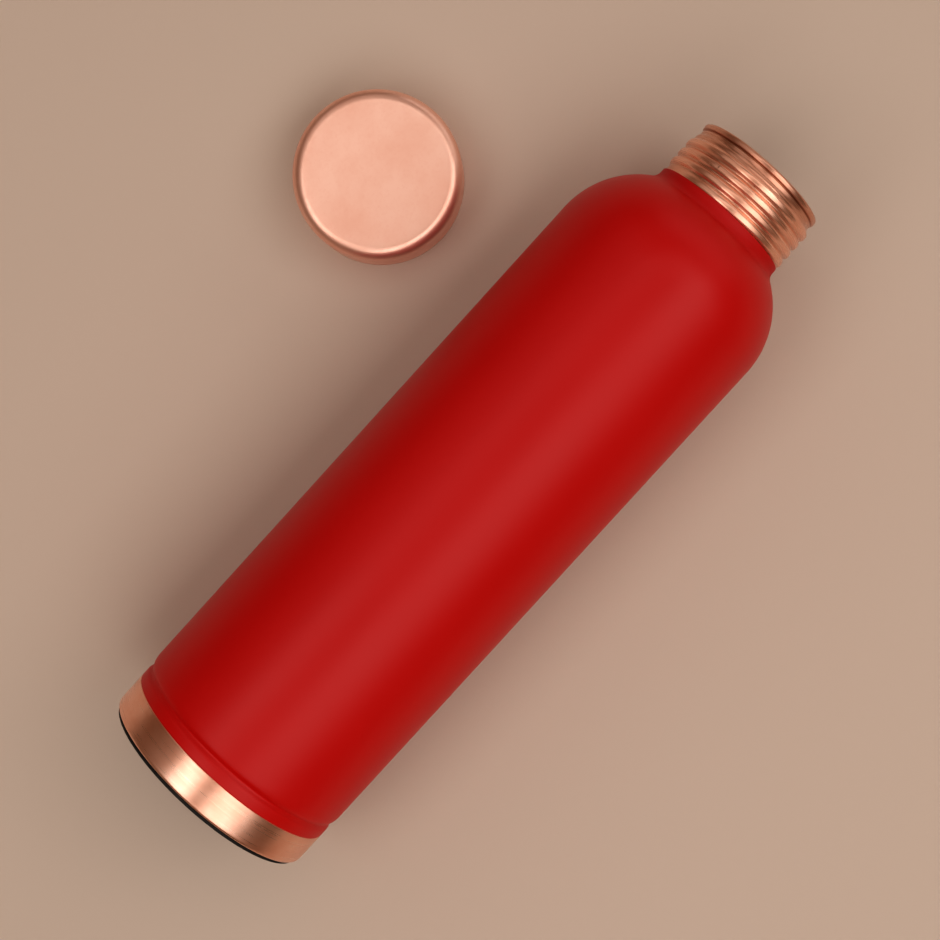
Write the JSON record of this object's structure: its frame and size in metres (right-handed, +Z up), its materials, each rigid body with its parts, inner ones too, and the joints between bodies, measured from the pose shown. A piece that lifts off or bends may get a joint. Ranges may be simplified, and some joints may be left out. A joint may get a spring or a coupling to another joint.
{
  "type": "copper water bottle",
  "caption": "Cylindrical copper water bottle lying on its side, coated body with bare threaded neck and base band, screw cap standing beside it.",
  "frame": {"origin": "centre of the foot's flat end face, on the bottle's axis", "axes": "+X along the bottle's axis from foot to mouth, +Y towards the loose cap, +Z up; the surface it lies on is at z = -0.038 m"},
  "size_m": [0.2557, 0.1558, 0.076],
  "materials": {
    "red_coat": "matte",
    "bare_copper": "satin, spun and brushed around the axis",
    "cap_copper": "satin, finely speckled",
    "liner_copper": "satin",
    "black_rubber": "matte",
    "seal_silicone": "satin"
  },
  "bodies": {
    "bottle": {"body_shell": "red_coat", "neck_finish": "bare_copper", "vessel_bottom": "bare_copper", "base_cup": "bare_copper", "foot_pad": "black_rubber"},
    "seal": {"cap_seal": "seal_silicone"},
    "cap": {"cap_shell": "cap_copper", "cap_liner": "liner_copper"}
  },
  "joints": [
    {"name": "cap_lift", "type": "slide", "parent": "bottle", "child": "seal", "axis": [0, 0, 1], "range_m": [0, 0.12]},
    {"name": "cap_turn", "type": "hinge", "parent": "seal", "child": "cap", "pos_m": [0.177, 0.0905, -0.027], "axis": [0, 0, -1], "range_deg": [0, 1080]}
  ]
}
